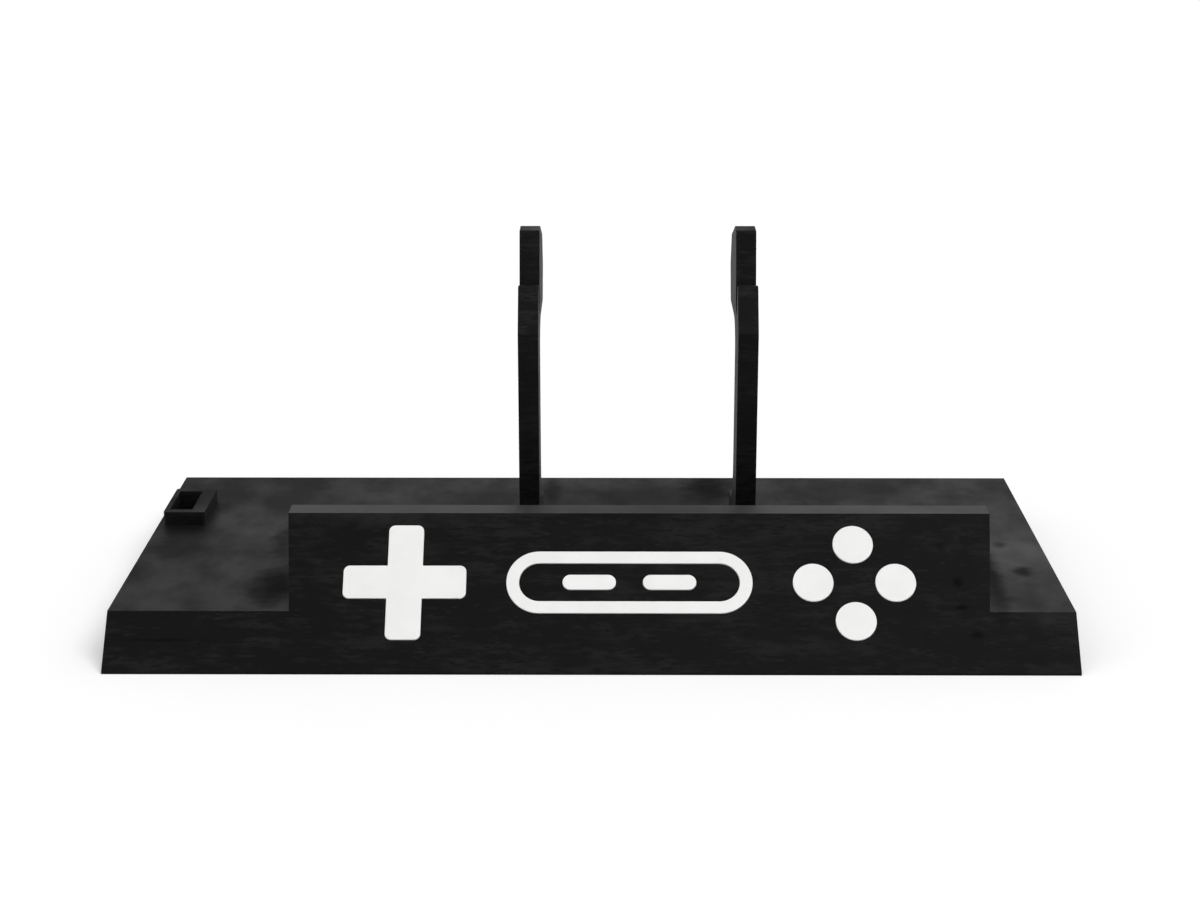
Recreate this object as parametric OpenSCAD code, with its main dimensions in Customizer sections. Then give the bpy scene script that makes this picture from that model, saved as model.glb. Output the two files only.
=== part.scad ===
// Desk stand for one game controller. A low base carries a sloped name panel along its front,
// a small plug holder at its rear left and two upright arms with a notch for the controller.
// +X is to the right, -Y is the front and +Z is up. The origin is under the middle of the base.

/* [Base] */
// Width of the base
base_w = 180; // [160:1:240]
// Depth of the base on the table
base_d = 91; // [86:1:130]
// Thickness of the base
base_h = 9.4; // [7.5:0.1:14]
// Height of the upright toe under the sloped front
toe_h = 0.5; // [0.3:0.1:1.5]
// Angle of the front face and of the name panel, measured from upright
face_lean = 42; // [35:1:50]

/* [Name panel] */
// Width of the name panel along its top
panel_w = 132.8; // [124:0.2:140]
// Width of the name panel at its foot
panel_foot_w = 130.2; // [122:0.2:140]
// Height of the name panel's top above the base
panel_rise = 14.8; // [13:0.1:24]
// Thickness of the name panel, square to its face
panel_t = 3.7; // [2.6:0.1:5]
// Radius of the fillet behind the foot of the name panel
panel_fillet = 2; // [0.5:0.1:3]
// How far the panel and the arms stand to the right of the base's middle
front_shift = 8.9; // [0:0.1:12]

/* [Arms] */
// Distance between the middles of the two arms
arm_pitch = 43; // [35:0.5:70]
// Thickness of an arm
arm_t = 4; // [3:0.1:6]
// Distance of the arms' front faces behind the top edge of the base's front
arm_setback = 35; // [24:0.5:40]
// Height of an arm above the base
arm_h = 62; // [59:0.5:90]
// Depth of an arm's post
post_d = 11.5; // [11:0.5:14]
// Depth of an arm's foot on the base
foot_d = 24; // [20:0.5:28]
// Height of the foot's rear edge
foot_edge = 5; // [3:0.5:8]
// Radius of the fillet between the post and the foot
foot_fillet = 10; // [4:0.5:14]
// Length of the flat on top of an arm
crown_d = 5; // [4:0.5:8]
// How far the head of an arm reaches back behind its crown
head_run = 12; // [8:0.5:16]
// Drop from the crown to the head's rear upper corner
head_drop = 4; // [2:0.5:6]
// Height of the head's rear edge
head_edge = 14; // [11:0.5:16]
// How far the middle of the head's rear edge stands out behind its corners
head_bulge = 3; // [1:0.5:5]
// Radius of the fillet between the post and the underside of the head
neck_fillet = 6; // [3:0.5:8]
// Radius of the small roundings on an arm's outline
arm_round = 0.8; // [0.3:0.1:1]

/* [Notch] */
// Height above the base where the finger in front of the notch starts to lean back
finger_z = 44.3; // [40:0.1:48]
// How far the finger leans back up to its tip
finger_run = 4.5; // [2:0.1:6]
// Height of the finger's tip above the base
tip_z = 52.8; // [51:0.1:56]
// Thickness of the finger at its tip
tip_t = 1.8; // [1.8:0.1:3]
// Width of the notch behind the finger
notch_w = 5; // [4.4:0.1:7]
// Depth of the notch below the finger's tip
notch_depth = 6.5; // [5.5:0.1:7]
// How far below the finger's tip the front of the head starts to lean back
rest_drop = 1.5; // [0.5:0.1:2.5]
// How far the front of the head leans back up to the crown
rest_run = 2.7; // [1:0.1:5]

/* [Arm seats] */
// Depth of the tenon under an arm
tenon_h = 5; // [3:0.1:6]
// Shoulder at the front and rear of a tenon
shoulder = 2; // [1:0.1:4]
// Gap round a tenon in its slot
tenon_gap = 0.15; // [0.05:0.05:0.4]

/* [Plug holder] */
// Width of the hole for the plug
plug_w = 4.7; // [4.4:0.1:6]
// Length of the hole for the plug
plug_l = 12.2; // [10:0.1:14]
// Wall in front of the hole and behind it
plug_wall = 1.9; // [1.5:0.1:3]
// Wall to the left of the hole
plug_left_wall = 1; // [0.8:0.1:3]
// Wall to the right of the hole
plug_right_wall = 2.8; // [1.5:0.1:4]
// Height of the wall above the base
plug_rise = 2.8; // [2:0.1:6]
// Radius of the outer corners of the wall
plug_corner = 0.5; // [0.3:0.1:1.5]
// Floor left under the hole
plug_floor = 1.2; // [1:0.1:3]
// Distance of the holder from the left side of the base
plug_inset = 1.2; // [0.5:0.1:5]
// Distance of the holder's rear from the rear of the base
plug_back = 17; // [10:0.5:24]

/* [Emblem] */
// Height of the emblem along the slope
emblem_h = 23; // [20:0.1:25]
// Width of the whole emblem
emblem_w = 107; // [100:1:112]
// Distance from the middle of the emblem to the panel's top edge, along the slope
emblem_drop = 14.1; // [13.5:0.1:16]
// How far the emblem stands to the left of the panel's middle
emblem_shift = 1.8; // [0:0.1:4]
// Thickness of the bars of the cross
cross_bar = 6.6; // [4:0.1:8]
// Radius of the corners of the cross
cross_round = 1.2; // [0.4:0.1:1.6]
// Width of the ring in the middle
ring_w = 46; // [40:0.5:50]
// Height of the ring in the middle
ring_h = 12.4; // [11:0.1:15]
// Width of the ring's band
ring_band = 2.4; // [1.6:0.1:2.8]
// Length of each key inside the ring
key_w = 10; // [8:0.1:12]
// Height of each key inside the ring
key_h = 3; // [2:0.1:3.6]
// Distance between the middles of the keys
key_pitch = 15; // [13:0.1:17]
// Diameter of each of the four dots
dot_d = 7.6; // [6:0.1:8.4]
// Depth of the pockets that hold the emblem
pocket_depth = 0.8; // [0.5:0.1:1.2]
// How far the emblem stands out of its pockets
inlay_proud = 0.2; // [0:0.05:0.5]
// Gap round each inlay in its pocket
inlay_gap = 0.1; // [0.05:0.05:0.2]

/* [Hidden] */
// Small overlap that keeps shapes from only touching, and how deep added shapes reach into the base
eps = 0.01;
root = 1;

black = [0.06, 0.06, 0.065];
soft_black = [0.08, 0.08, 0.085];
white = [0.93, 0.93, 0.92];

// The front face runs from the toe up through the base into the panel
face_step = tan(face_lean);
front_y = -base_d / 2;
edge_y = front_y + (base_h - toe_h) * face_step;
panel_top = base_h + panel_rise;
panel_top_y = front_y + (panel_top - toe_h) * face_step;
panel_flat = panel_t / cos(face_lean);

// Arms: s runs back from an arm's front face, z up from the top of the base
arm_y = edge_y + arm_setback;
notch_front = finger_run + tip_t;
notch_back = notch_front + notch_w;
notch_r = notch_w / 2;
notch_floor_z = tip_z - notch_depth;
crown_s = notch_back + rest_run;
head_s = crown_s + crown_d + head_run;
head_top_z = arm_h - head_drop;
head_low_z = head_top_z - head_edge;
flare = min(foot_fillet, foot_d - post_d - arm_round);

// Plug holder
holder_w = plug_left_wall + plug_w + plug_right_wall;
holder_l = plug_l + 2 * plug_wall;
holder_x = -base_w / 2 + plug_inset + holder_w / 2;
hole_x = holder_x - (plug_right_wall - plug_left_wall) / 2;
holder_y = base_d / 2 - plug_back - holder_l / 2;

// Emblem
mark_x = (emblem_w - emblem_h) / 2;
dot_ring = (emblem_h - dot_d) / 2;
inlay_t = pocket_depth + inlay_proud;

// Points of a small arc round a corner, from the edge a-b to the edge b-c
function unit(v) = v / norm(v);
function rounded(a, b, c, r, steps = 5) =
    let (u = unit(a - b), w = unit(c - b),
        half = acos(u * w) / 2,
        mid = b + unit(u + w) * r / sin(half),
        p = b + u * r / tan(half) - mid,
        q = b + w * r / tan(half) - mid)
    [for (i = [0 : steps]) mid + r * unit(p * (1 - i / steps) + q * i / steps)];

// Points of a half turn under the notch
function notch_floor(steps = 12) =
    [for (i = [1 : steps - 1])
        let (a = 180 + 180 * i / steps)
        [notch_front + notch_r + notch_r * cos(a), notch_floor_z + notch_r + notch_r * sin(a)]];

// Side outline of an arm above the base, up its front and down its back
function arm_outline() = let (
    finger_foot = [0, finger_z],
    tip_front = [finger_run, tip_z],
    tip_back = [notch_front, tip_z],
    rest_low = [notch_back, tip_z - rest_drop],
    crown_front = [crown_s, arm_h],
    crown_back = [crown_s + crown_d, arm_h],
    head_top = [head_s, head_top_z],
    head_middle = [head_s + head_bulge, head_top_z - head_edge / 2],
    head_low = [head_s, head_low_z],
    neck = [post_d, head_low_z],
    ankle = [post_d, foot_edge],
    heel = [foot_d, foot_edge],
    heel_low = [foot_d, 0])
    concat(
        [[0, 0]],
        rounded([0, 0], finger_foot, tip_front, arm_round),
        rounded(finger_foot, tip_front, tip_back, arm_round),
        rounded(tip_front, tip_back, [notch_front, 0], arm_round),
        [[notch_front, notch_floor_z + notch_r]],
        notch_floor(),
        [[notch_back, notch_floor_z + notch_r]],
        rounded([notch_back, 0], rest_low, crown_front, arm_round),
        rounded(rest_low, crown_front, crown_back, arm_round),
        rounded(crown_front, crown_back, head_top, arm_round),
        rounded(crown_back, head_top, head_middle, arm_round),
        rounded(head_top, head_middle, head_low, arm_round),
        rounded(head_middle, head_low, neck, arm_round),
        rounded(head_low, neck, ankle, neck_fillet, 10),
        rounded(neck, ankle, heel, flare, 12),
        rounded(ankle, heel, heel_low, arm_round),
        [heel_low]);

// Fillet behind the foot of the panel, between its back and the top of the base
function panel_back_foot() =
    let (foot = [edge_y + panel_flat, base_h],
        up = [panel_top_y + panel_flat, panel_top],
        rear = [base_d / 2, base_h])
    rounded(up, foot, rear, panel_fillet, 8);

// Side profile, drawn in Y and Z, swept along X from the middle outwards
module sweep_x(width) {
    rotate([90, 0, 90])
        linear_extrude(height = width, center = true)
            children();
}

// Whatever is drawn flat in X and along the slope is stood on the front face,
// with its own zero height on that face and its middle at the emblem's middle
module on_face() {
    slope_y = panel_top_y - emblem_drop * sin(face_lean);
    slope_z = panel_top - emblem_drop * cos(face_lean);
    translate([front_shift - emblem_shift, slope_y, slope_z])
        rotate([90 - face_lean, 0, 0])
            children();
}

module bar(w, h, r) {
    square([w - 2 * r, h], center = true);
    square([w, h - 2 * r], center = true);
    for (x = [-1, 1], y = [-1, 1])
        translate([x * (w / 2 - r), y * (h / 2 - r)])
            circle(r = r, $fn = 32);
}

// Flat outlines of the emblem, each grown by g on every side
module cross_mark(g) {
    translate([-mark_x, 0]) {
        bar(emblem_h + 2 * g, cross_bar + 2 * g, cross_round + g);
        bar(cross_bar + 2 * g, emblem_h + 2 * g, cross_round + g);
    }
}

module ring_mark(g) {
    inner_w = ring_w - 2 * ring_band;
    inner_h = ring_h - 2 * ring_band;
    difference() {
        bar(ring_w + 2 * g, ring_h + 2 * g, ring_h / 2 + g - eps);
        bar(inner_w - 2 * g, inner_h - 2 * g, inner_h / 2 - g - eps);
    }
}

module key_mark(side, g) {
    translate([side * key_pitch / 2, 0])
        bar(key_w + 2 * g, key_h + 2 * g, key_h / 2 + g - eps);
}

module dot_mark(angle, g) {
    translate([mark_x + dot_ring * cos(angle), dot_ring * sin(angle)])
        circle(d = dot_d + 2 * g, $fn = 64);
}

module pockets() {
    on_face()
        translate([0, 0, -pocket_depth])
            linear_extrude(height = pocket_depth + root) {
                cross_mark(inlay_gap);
                ring_mark(inlay_gap);
                key_mark(-1, inlay_gap);
                key_mark(1, inlay_gap);
                for (angle = [0 : 90 : 270])
                    dot_mark(angle, inlay_gap);
            }
}

module inlay() {
    color(white)
        on_face()
            translate([0, 0, -pocket_depth])
                linear_extrude(height = inlay_t)
                    children();
}

module base_plate() {
    sweep_x(base_w)
        polygon([
            [front_y, 0],
            [base_d / 2, 0],
            [base_d / 2, base_h],
            [edge_y, base_h],
            [front_y, toe_h]
        ]);
}

// The panel is a little wider along its top than at its foot
module panel_front() {
    rotate([90, 0, 0])
        linear_extrude(height = base_d, center = true)
            polygon([
                [-panel_foot_w / 2, 0],
                [panel_foot_w / 2, 0],
                [panel_foot_w / 2, base_h],
                [panel_w / 2, panel_top],
                [-panel_w / 2, panel_top],
                [-panel_foot_w / 2, base_h]
            ]);
}

module name_panel() {
    translate([front_shift, 0, 0])
        intersection() {
            sweep_x(base_w)
                polygon(concat(
                    [[edge_y, base_h], [panel_top_y, panel_top], [panel_top_y + panel_flat, panel_top]],
                    panel_back_foot(),
                    [[panel_top_y + panel_flat, base_h - root], [edge_y, base_h - root]]
                ));
            panel_front();
        }
}

module holder_wall() {
    translate([holder_x, holder_y, base_h - root])
        linear_extrude(height = plug_rise + root)
            bar(holder_w, holder_l, plug_corner);
}

module plug_hole() {
    translate([hole_x, holder_y, plug_floor])
        linear_extrude(height = base_h + plug_rise)
            square([plug_w, plug_l], center = true);
}

module arm_slot() {
    translate([-arm_t / 2 - tenon_gap, arm_y + shoulder - tenon_gap, base_h - tenon_h - tenon_gap])
        cube([
            arm_t + 2 * tenon_gap,
            foot_d - 2 * shoulder + 2 * tenon_gap,
            tenon_h + tenon_gap + root
        ]);
}

module at_arm(side) {
    translate([front_shift + side * arm_pitch / 2, 0, 0])
        children();
}

module arm() {
    translate([0, arm_y, base_h])
        sweep_x(arm_t)
            polygon(arm_outline());
    translate([-arm_t / 2, arm_y + shoulder, base_h - tenon_h])
        cube([arm_t, foot_d - 2 * shoulder, tenon_h + eps]);
}

module base() {
    color(black)
        difference() {
            union() {
                base_plate();
                name_panel();
                holder_wall();
            }
            plug_hole();
            at_arm(-1) arm_slot();
            at_arm(1) arm_slot();
            pockets();
        }
}

module left_arm() {
    color(soft_black)
        at_arm(-1) arm();
}

module right_arm() {
    color(soft_black)
        at_arm(1) arm();
}

module cross_inlay() {
    inlay() cross_mark(0);
}

module ring_inlay() {
    inlay() ring_mark(0);
}

module left_key_inlay() {
    inlay() key_mark(-1, 0);
}

module right_key_inlay() {
    inlay() key_mark(1, 0);
}

module top_dot_inlay() {
    inlay() dot_mark(90, 0);
}

module right_dot_inlay() {
    inlay() dot_mark(0, 0);
}

module bottom_dot_inlay() {
    inlay() dot_mark(270, 0);
}

module left_dot_inlay() {
    inlay() dot_mark(180, 0);
}

base();
left_arm();
right_arm();
cross_inlay();
ring_inlay();
left_key_inlay();
right_key_inlay();
top_dot_inlay();
right_dot_inlay();
bottom_dot_inlay();
left_dot_inlay();
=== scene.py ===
import math

import bpy
from mathutils import Matrix, Vector


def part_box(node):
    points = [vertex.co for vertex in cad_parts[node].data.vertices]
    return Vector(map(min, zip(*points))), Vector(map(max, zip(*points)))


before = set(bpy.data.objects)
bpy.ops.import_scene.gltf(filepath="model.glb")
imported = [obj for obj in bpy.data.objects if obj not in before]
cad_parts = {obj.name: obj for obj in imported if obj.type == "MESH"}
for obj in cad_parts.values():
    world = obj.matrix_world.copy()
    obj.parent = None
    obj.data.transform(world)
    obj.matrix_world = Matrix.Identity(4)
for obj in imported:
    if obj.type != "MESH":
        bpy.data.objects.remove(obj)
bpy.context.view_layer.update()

MM = 0.001

# Camera, worked out from the base's edges in the photograph
CAMERA_PLACE = Vector((4.1, -437.9, 161.0)) * MM
CAMERA_PITCH = math.radians(-16.72)
CAMERA_TURN = math.radians(0.35)
CAMERA_ROLL = math.radians(-0.04)
CAMERA_LENS = 69.0
SENSOR_WIDTH = 36.0
CLIP_START = 0.01
CLIP_END = 30.0

# Height of one printed layer, and width of one stroke on a level face
LAYER = 0.2 * MM
STROKE = 0.42 * MM

# Height of the name panel's top, and how far off a point may lie and still belong to it
PANEL_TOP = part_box("base")[1][2]
PANEL_TOP_SLACK = 0.3 * MM

# A face is level where its direction's upward part is past this
LEVEL_LIMIT = 0.9

# Soft roundings that catch the light
ARM_ROUND = 0.12 * MM
BASE_ROUND = 0.2 * MM
INLAY_ROUND = 0.12 * MM
ROUND_STEPS = 2
SHARP_ANGLE = math.radians(38)
FLAT_ANGLE = math.radians(0.5)
WELD_DISTANCE = 0.001 * MM

# Patterns: stretch along x, y and z, then scale, detail and roughness of the noise
STREAKS = ((240, 500, 1500), 1.0, 3.0, 0.6)
SOFT_STREAKS = ((70, 200, 420), 1.0, 2.0, 0.5)
DASHES = ((420, 900, 2300), 1.0, 2.0, 0.5)
SCRATCHES = ((310, 900, 2100), 1.0, 2.0, 0.5)
STAINS = ((1.0, 1.0, 1.6), 90.0, 3.0, 0.6)
BLOTCHES = ((1.0, 0.6, 1.0), 95.0, 3.0, 0.6)
CLOUDS = ((1.0, 0.7, 1.0), 26.0, 2.0, 0.5)
GRAIN = ((1.0, 1.0, 1.0), 2600.0, 2.0, 0.5)
WHITE_STREAKS = ((70, 500, 1800), 1.0, 3.0, 0.6)
WHITE_SOIL = ((1.0, 1.0, 1.0), 160.0, 3.0, 0.6)

# Shares: of streaks, soft streaks and stains, and of blotches and clouds
UPRIGHT_SHARES = (0.6, 0.5, 0.5)
LEVEL_SHARES = (1.1, 0.7)

# Shares of the relief: of layers and streaks, of strokes and blotches, and of grain
UPRIGHT_RELIEF = (0.35, 0.9)
LEVEL_RELIEF = (0.25, 0.5)
GRAIN_RELIEF = 0.25
WHITE_RELIEF = (0.4, 0.6)

# Ramps: a low and a high value, and what they turn into
UPRIGHT_TONE = (0.64, 0.96, -0.65, 1.15)
DASH_DEPTH = (0.56, 0.68, 0.0, 1.1)
SCRATCH_GAIN = (0.64, 0.74, 0.0, 1.6)
LEVEL_TONE = (0.72, 1.08, 0.2, 1.4)
PANEL_TOP_SHEEN_MIX = (0.78, 1.0, 0.5, 1.0)
UPRIGHT_ROUGH = (0.3, 0.7, 0.52, 0.64)
LEVEL_ROUGH = (0.72, 1.08, 0.64, 0.44)
WHITE_TONE = (0.35, 0.75, 0.0, 1.0)
WHITE_ROUGH = (0.3, 0.7, 0.5, 0.62)

# Black plastic: the darkest and the lightest share of a shade, by the kind of face
UPRIGHT_SHADES = (0.58, 1.75)
LEVEL_SHADES = (0.7, 1.3)
BASE_SHADE = 0.0058
ARM_SHADE = 0.0045
# Painted light: the arms' faces are made lighter the more they lean upward, as if lit from above
ARM_SLOPE_PAINTED_LIGHT = 1.5
BLACK_SHINE = 0.08
BLACK_BUMP = (0.35, 0.03 * MM)
# Painted sheen: the lighter colour of the name panel's top, then that top's roughness
PANEL_TOP_PAINTED_SHEEN = (0.035, 0.035, 0.035, 1.0)
PANEL_TOP_ROUGH = 0.42

# Shifts that give the base and the arms patterns of their own
BASE_SHIFT = (0.31, 0.17, 0.0)
ARM_SHIFT = (0.75, 0.42, 0.2)

# White plastic
CLEAN_WHITE = (0.93, 0.93, 0.92, 1.0)
SOILED_WHITE = (0.88, 0.88, 0.86, 1.0)
WHITE_SHINE = 0.5
WHITE_BUMP = (0.3, 0.02 * MM)

# Marks and painted light on the base: middle and radii in millimetres, and how strongly each one shows
DUST_AND_SHEEN_PATCHES = (
    # Dust and painted sheen on the base's top
    ((-70, 6, 9), (9, 13, 4), 0.3),
    ((-42, 28, 9), (34, 20, 4), 0.4),
    ((-36, 19, 9), (40, 10, 4), 0.7),
    ((86, -8, 9), (13, 44, 4), 0.95),
    ((84, 30, 9), (14, 18, 4), 0.45),
    ((58, 24, 9), (30, 8, 4), 0.2),
    ((-27, 43, 9), (9, 6, 4), 0.35),
    ((-1, 42, 9), (12, 7, 4), 0.7),
    ((-4, 31, 9), (8, 6, 4), 0.35),
    ((41, 41, 9), (6, 9, 4), 0.35),
    # Painted shine on the name panel's top
    ((-38, -22, 24), (26, 9, 3), 0.25),
    # Pale specks at the left and the right of the front
    ((-69.3, -43.4, 2.8), (2.6, 2, 0.3), 0.28),
    ((-62.8, -43.4, 2.8), (2, 2, 0.26), 0.25),
    ((73.5, -38.4, 8.4), (2, 2, 0.9), 0.16),
    ((77.5, -38, 8.8), (2.6, 2, 0.6), 0.16),
    ((84.4, -38.5, 8.2), (2.4, 2, 1), 0.2),
    ((79.4, -40.8, 5.7), (2, 2, 0.8), 0.15),
    ((80.8, -44.5, 1.6), (2.2, 2, 0.5), 0.2),
)
SHADE_AND_WEAR_PATCHES = (
    # Darker spots and nicks on the base's top, with painted shade between and beside the arms and beside
    # the name panel's foot
    ((12, 31, 9), (34, 17, 4), 0.34),
    ((56, 36, 9), (22, 18, 4), 0.3),
    ((-60.5, -24, 9), (7.5, 16, 4), 0.85),
    ((-62.5, 2, 9), (4, 12, 4), 0.45),
    ((-84, -2, 9), (10, 12, 4), 0.35),
    ((77, -18, 9), (3, 30, 4), 0.65),
    ((83.7, -15.2, 9), (3, 4, 4), 0.7),
    ((81.8, 0.9, 9), (2, 3, 4), 0.4),
    ((25, 38, 9), (8, 17, 4), 0.85),
    ((-9.2, 35, 9), (3, 16, 4), 0.4),
    # Painted reflection of the arms on the middle of the name panel's top, and the plug holder's top
    # made darker
    ((6, -22, 24), (34, 9, 3), 0.15),
    ((-84.5, 20.5, 12), (7, 12, 1.5), 0.35),
    # Groove at the left of the front, and nicks at the right of the panel
    ((-79, -41.3, 5.1), (13, 3, 0.3), 0.6),
    ((68.4, -33.5, 13.9), (1.4, 3, 1.2), 0.7),
    ((68.9, -36.8, 10.1), (2.2, 3, 0.6), 0.7),
    ((71.3, -40.5, 6), (2, 3, 0.9), 0.6),
    ((65.5, -29, 19), (1.6, 3, 1), 0.5),
)
# Grey of the lighter patches, dust and painted sheen, and black of the darker ones, painted shade and
# wear
DUST_AND_SHEEN_GREY = (0.03, 0.03, 0.03, 1.0)
SHADE_AND_WEAR_BLACK = (0.001, 0.001, 0.001, 1.0)
DULL_ROUGH = 0.95

# A patch is full in this share of its radii
PATCH_CORE = 0.1

# A patch's edge wanders by this share of its radii, up to a limit in millimetres
WOBBLE = 0.9
WOBBLE_LIMIT = 12
WOBBLE_SCALE = 260.0
WOBBLE_DETAIL = 3.0
NOISE_MIDDLE = (0.5, 0.5, 0.5)

# Light levels: one is white
WHITE_LEVEL = 1.0
ZENITH_LEVEL = 0.3
ROOM_LEVEL = 0.4
FLOOR_GLOW = 0.28
WHITE_LIGHT = (1, 1, 1, 1)

# The background is white up to the first height and at its dimmest from the second
WHITE_UP_TO = 0.25
DIM_FROM = 0.8

FLOOR_SIZE = 8.0
FLOOR_COLOUR = (0.82, 0.82, 0.82, 1)

# Far lamps: name, azimuth, elevation, spread and strength, with the angles in degrees
LAMPS = (
    ("key", 50, 55, 35, 1.5),
    ("fill", -60, 40, 50, 0.4),
    ("back", 150, 22, 40, 0.25),
)


class Nodes:
    """A material's node tree, with short calls that add and link nodes."""

    def __init__(self, tree):
        self.tree = tree
        self.tree.nodes.clear()

    def add(self, kind, inputs=None, **settings):
        node = self.tree.nodes.new(kind)
        for name, value in settings.items():
            setattr(node, name, value)
        for key, value in (inputs or {}).items():
            self.put(node.inputs[key], value)
        return node

    def put(self, socket, value):
        if isinstance(value, bpy.types.NodeSocket):
            self.tree.links.new(value, socket)
        else:
            socket.default_value = value

    def math(self, operation, a, b=0.0, c=0.0):
        return self.add("ShaderNodeMath", {0: a, 1: b, 2: c}, operation=operation).outputs[0]

    def vector_math(self, operation, a, b):
        return self.add("ShaderNodeVectorMath", {0: a, 1: b}, operation=operation).outputs[0]

    def length(self, vector):
        return self.add("ShaderNodeVectorMath", {0: vector}, operation="LENGTH").outputs["Value"]

    def total(self, shares, *values):
        """The sum of the values, each times its share."""
        parts = [self.math("MULTIPLY", value, share) for value, share in zip(values, shares)]
        result = parts[0]
        for part in parts[1:]:
            result = self.math("ADD", result, part)
        return result

    def parts(self, vector):
        return self.add("ShaderNodeSeparateXYZ", {0: vector}).outputs

    def place(self):
        return self.add("ShaderNodeTexCoord").outputs["Object"]

    def pattern(self, vector, kind):
        """Noise from one of the rows of patterns above."""
        stretch, scale, detail, roughness = kind
        stretched = self.vector_math("MULTIPLY", vector, stretch)
        inputs = {"Vector": stretched, "Scale": scale, "Detail": detail, "Roughness": roughness}
        return self.add("ShaderNodeTexNoise", inputs).outputs[0]

    def ramp(self, value, low, high, to_low, to_high, **settings):
        inputs = {"Value": value, "From Min": low, "From Max": high, "To Min": to_low, "To Max": to_high}
        return self.add("ShaderNodeMapRange", inputs, **settings).outputs[0]

    def mix_colours(self, factor, low, high):
        """The mix node takes its colours by its sockets 6 and 7."""
        return self.add("ShaderNodeMix", {0: factor, 6: low, 7: high}, data_type="RGBA").outputs[2]

    def greys(self, factor, shade, shares):
        """A grey between two shares of a shade."""
        low, high = ([share * shade] * 3 + [1.0] for share in shares)
        return self.mix_colours(factor, low, high)

    def blend(self, factor, low, high):
        """The mix node takes its numbers by its sockets 2 and 3."""
        return self.add("ShaderNodeMix", {0: factor, 2: low, 3: high}, data_type="FLOAT").outputs[0]

    def bump(self, height, strength, depth):
        inputs = {"Strength": strength, "Distance": depth, "Height": height}
        return self.add("ShaderNodeBump", inputs).outputs[0]

    def plastic(self, colour, rough, relief, shine):
        inputs = {
            "Base Color": colour,
            "Roughness": rough,
            "Normal": relief,
            "Specular IOR Level": shine,
        }
        self.finish(self.add("ShaderNodeBsdfPrincipled", inputs).outputs[0])

    def finish(self, shader, output="ShaderNodeOutputMaterial"):
        self.add(output, {"Surface": shader})


def new_material(name):
    material = bpy.data.materials.new(name)
    material.use_nodes = True
    return material, Nodes(material.node_tree)


def face_slope(n):
    """The upward part of a face's direction, and one where the face is level."""
    upward = n.parts(n.add("ShaderNodeNewGeometry").outputs["True Normal"])[2]
    level_face = n.math("GREATER_THAN", n.math("ABSOLUTE", upward), LEVEL_LIMIT)
    return upward, level_face


def print_layers(n, place):
    """Relief of the printed layers, which run level round the piece."""
    height = n.parts(place)[2]
    return n.math("SINE", n.math("MULTIPLY", height, 2 * math.pi / LAYER))


def print_strokes(n, place):
    """Relief of the slanting strokes that fill a level face."""
    x, y, _ = n.parts(place)
    across = n.math("ADD", x, y)
    return n.math("SINE", n.math("MULTIPLY", across, 2 * math.pi / STROKE / math.sqrt(2)))


def upright_tone(n, shifted, streaks):
    """Streaked and stained tone of the upright faces, with dark dashes and light scratches."""
    soft_streaks = n.pattern(shifted, SOFT_STREAKS)
    mix = n.total(UPRIGHT_SHARES, streaks, soft_streaks, n.pattern(shifted, STAINS))
    tone = n.ramp(mix, *UPRIGHT_TONE)
    tone = n.math("SUBTRACT", tone, n.ramp(n.pattern(shifted, DASHES), *DASH_DEPTH))
    return n.math("ADD", tone, n.ramp(n.pattern(shifted, SCRATCHES), *SCRATCH_GAIN))


def panel_strip(n, place, level_face):
    """One on the name panel's top and nought elsewhere."""
    height = n.parts(place)[2]
    return n.math("MULTIPLY", level_face, n.math("COMPARE", height, PANEL_TOP, PANEL_TOP_SLACK))


def patch(n, place, wobble, centre, radii, amount):
    """The amount in the middle of an oval patch with a ragged edge, and nought outside it."""
    reach = n.vector_math("MULTIPLY", wobble, [WOBBLE * MM * min(r, WOBBLE_LIMIT) for r in radii])
    bent = n.vector_math("ADD", place, reach)
    away = n.vector_math("SUBTRACT", bent, [c * MM for c in centre])
    away = n.length(n.vector_math("MULTIPLY", away, [1 / (r * MM) for r in radii]))
    inside = n.ramp(away, PATCH_CORE, 1.0, 1.0, 0.0, interpolation_type="SMOOTHSTEP")
    return n.math("MULTIPLY", inside, amount)


def add_patches(n, place, colour, rough, lighter, darker):
    """Ragged patches: the lighter ones are dust and painted sheen, and the darker ones are painted shade
    and wear, and dull.
    """
    inputs = {"Vector": place, "Scale": WOBBLE_SCALE, "Detail": WOBBLE_DETAIL}
    wobble = n.add("ShaderNodeTexNoise", inputs).outputs["Color"]
    wobble = n.vector_math("SUBTRACT", wobble, NOISE_MIDDLE)
    for patch_row in lighter:
        colour = n.mix_colours(patch(n, place, wobble, *patch_row), colour, DUST_AND_SHEEN_GREY)
    for patch_row in darker:
        shown = patch(n, place, wobble, *patch_row)
        colour = n.mix_colours(shown, colour, SHADE_AND_WEAR_BLACK)
        rough = n.blend(shown, rough, DULL_ROUGH)
    return colour, rough


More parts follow.
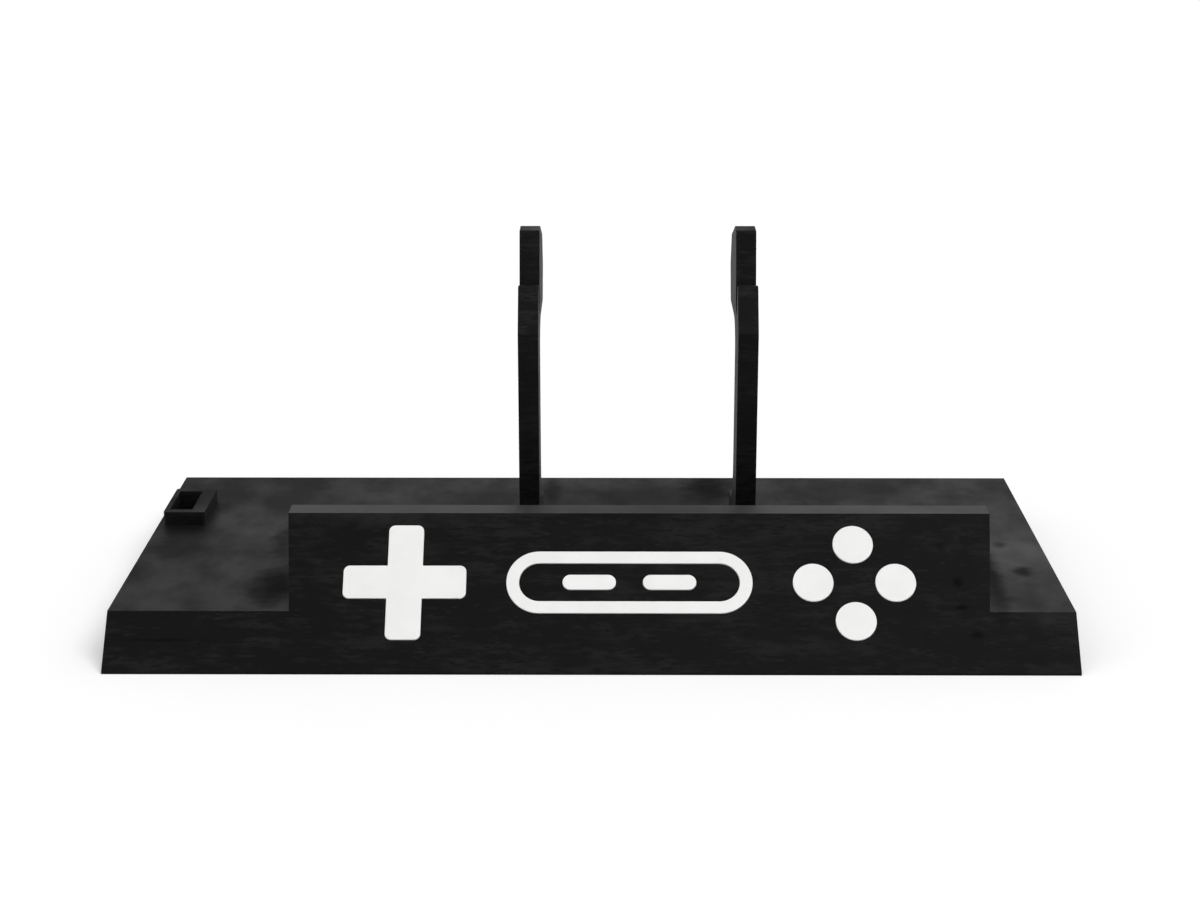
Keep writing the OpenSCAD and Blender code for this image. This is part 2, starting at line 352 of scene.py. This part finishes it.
def black_print(name, shade, shift, painted_slope_light=0.0, lighter=(), darker=()):
    """Black printed plastic: satin and blotchy where level, streaked by its layers where upright. Faces
    that lean upward are painted lighter, the name panel's top gets a painted sheen, and the patches add
    dust, wear, painted sheen and painted shade.
    """
    material, n = new_material(name)
    place = n.place()
    shifted = n.vector_math("ADD", place, shift)
    upward, level_face = face_slope(n)
    streaks = n.pattern(shifted, STREAKS)
    blotches = n.pattern(shifted, BLOTCHES)
    level_mix = n.total(LEVEL_SHARES, blotches, n.pattern(shifted, CLOUDS))

    upright_colour = n.greys(upright_tone(n, shifted, streaks), shade, UPRIGHT_SHADES)
    level_colour = n.greys(n.ramp(level_mix, *LEVEL_TONE), shade, LEVEL_SHADES)
    colour = n.mix_colours(level_face, upright_colour, level_colour)
    # Painted light and shade: an upright face is made lighter the more it leans upward and darker the
    # more it leans downward; level faces keep their colour
    painted_lift = n.math("ADD", n.math("MULTIPLY", upward, painted_slope_light), 1.0)
    colour = n.vector_math("MULTIPLY", colour, n.blend(level_face, painted_lift, 1.0))
    rough = n.blend(level_face, n.ramp(streaks, *UPRIGHT_ROUGH), n.ramp(level_mix, *LEVEL_ROUGH))

    strip = panel_strip(n, place, level_face)
    # Painted sheen: the name panel's top gets a lighter colour, blotchy like the other level faces
    painted_sheen_mix = n.math("MULTIPLY", strip, n.ramp(level_mix, *PANEL_TOP_SHEEN_MIX))
    colour = n.mix_colours(painted_sheen_mix, colour, PANEL_TOP_PAINTED_SHEEN)
    rough = n.blend(strip, rough, PANEL_TOP_ROUGH)
    colour, rough = add_patches(n, place, colour, rough, lighter, darker)

    upright_height = n.total(UPRIGHT_RELIEF, print_layers(n, place), streaks)
    level_height = n.total(LEVEL_RELIEF, print_strokes(n, place), blotches)
    height = n.blend(level_face, upright_height, level_height)
    grain = n.math("MULTIPLY", n.pattern(place, GRAIN), GRAIN_RELIEF)
    height = n.math("ADD", height, grain)
    n.plastic(colour, rough, n.bump(height, *BLACK_BUMP), BLACK_SHINE)
    return material


def white_print(name):
    """Matte white printed plastic with faint layers."""
    material, n = new_material(name)
    place = n.place()
    streaks = n.pattern(place, WHITE_STREAKS)
    soil = n.ramp(n.pattern(place, WHITE_SOIL), *WHITE_TONE)
    colour = n.mix_colours(soil, CLEAN_WHITE, SOILED_WHITE)
    rough = n.ramp(streaks, *WHITE_ROUGH)
    height = n.total(WHITE_RELIEF, print_layers(n, place), streaks)
    n.plastic(colour, rough, n.bump(height, *WHITE_BUMP), WHITE_SHINE)
    return material


def soften_edges(thing, width):
    """Joins the flat faces up and rounds the edges between them."""
    weld = thing.modifiers.new("weld", "WELD")
    weld.merge_threshold = WELD_DISTANCE
    flatten = thing.modifiers.new("flatten", "DECIMATE")
    flatten.decimate_type = "DISSOLVE"
    flatten.angle_limit = FLAT_ANGLE
    bevel = thing.modifiers.new("soft edges", "BEVEL")
    bevel.width = width
    bevel.segments = ROUND_STEPS
    bevel.limit_method = "ANGLE"
    bevel.angle_limit = SHARP_ANGLE
    bevel.miter_outer = "MITER_ARC"


def dress(node, material, round_width):
    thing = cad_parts[node]
    thing.data.materials.clear()
    thing.data.materials.append(material)
    soften_edges(thing, round_width)


def dress_all():
    marks_and_painted_light = {"lighter": DUST_AND_SHEEN_PATCHES, "darker": SHADE_AND_WEAR_PATCHES}
    base_black = black_print("base_black_print", BASE_SHADE, BASE_SHIFT, **marks_and_painted_light)
    arm_black = black_print("arm_black_print", ARM_SHADE, ARM_SHIFT, ARM_SLOPE_PAINTED_LIGHT)
    white = white_print("inlay_white_print")
    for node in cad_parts:
        if node.endswith("_inlay"):
            dress(node, white, INLAY_ROUND)
        elif node.endswith("_arm"):
            dress(node, arm_black, ARM_ROUND)
        else:
            dress(node, base_black, BASE_ROUND)


def light_seen(n):
    """One for rays from the camera and for mirrored or passing rays, which see the white background."""
    path = n.add("ShaderNodeLightPath")
    seen = n.math("MAXIMUM", path.outputs["Is Camera Ray"], path.outputs["Is Glossy Ray"])
    return n.math("MAXIMUM", seen, path.outputs["Is Transmission Ray"])


def set_world():
    world = bpy.data.worlds.new("studio")
    bpy.context.scene.world = world
    world.use_nodes = True
    n = Nodes(world.node_tree)
    up = n.parts(n.add("ShaderNodeTexCoord").outputs["Generated"])[2]
    background = n.ramp(up, WHITE_UP_TO, DIM_FROM, WHITE_LEVEL, ZENITH_LEVEL)
    level = n.blend(light_seen(n), ROOM_LEVEL, background)
    shader = n.add("ShaderNodeBackground", {"Color": WHITE_LIGHT, "Strength": level})
    n.finish(shader.outputs[0], "ShaderNodeOutputWorld")


def add_floor():
    bpy.ops.mesh.primitive_plane_add(size=FLOOR_SIZE, location=(0, 0, 0))
    floor = bpy.context.object
    floor.name = "floor"
    material, n = new_material("pale_floor")
    diffuse = n.add("ShaderNodeBsdfDiffuse", {"Color": FLOOR_COLOUR})
    level = n.math("MULTIPLY", light_seen(n), FLOOR_GLOW)
    glow = n.add("ShaderNodeEmission", {"Color": WHITE_LIGHT, "Strength": level})
    both = n.add("ShaderNodeAddShader", {0: diffuse.outputs[0], 1: glow.outputs[0]})
    n.finish(both.outputs[0])
    floor.data.materials.append(material)


def add_lamp(name, azimuth, elevation, spread, strength):
    """A soft far lamp. Azimuth 0 shines from the camera's side and 90 from the right."""
    data = bpy.data.lights.new(name, "SUN")
    data.angle = math.radians(spread)
    data.energy = strength
    a = math.radians(azimuth)
    e = math.radians(elevation)
    towards = Vector((math.sin(a) * math.cos(e), -math.cos(a) * math.cos(e), math.sin(e)))
    lamp = bpy.data.objects.new(name, data)
    lamp.rotation_euler = towards.to_track_quat("Z", "Y").to_euler()
    bpy.context.scene.collection.objects.link(lamp)


def add_camera():
    data = bpy.data.cameras.new("camera")
    data.lens = CAMERA_LENS
    data.sensor_width = SENSOR_WIDTH
    data.clip_start = CLIP_START
    data.clip_end = CLIP_END
    camera = bpy.data.objects.new("camera", data)
    turn = Matrix.Rotation(CAMERA_TURN, 4, "Z")
    tilt = Matrix.Rotation(math.radians(90) + CAMERA_PITCH, 4, "X")
    roll = Matrix.Rotation(CAMERA_ROLL, 4, "Z")
    camera.matrix_world = Matrix.Translation(CAMERA_PLACE) @ turn @ tilt @ roll
    bpy.context.scene.collection.objects.link(camera)
    bpy.context.scene.camera = camera


add_camera()
dress_all()
set_world()
add_floor()
for lamp_row in LAMPS:
    add_lamp(*lamp_row)
bpy.context.scene.view_settings.view_transform = "Standard"
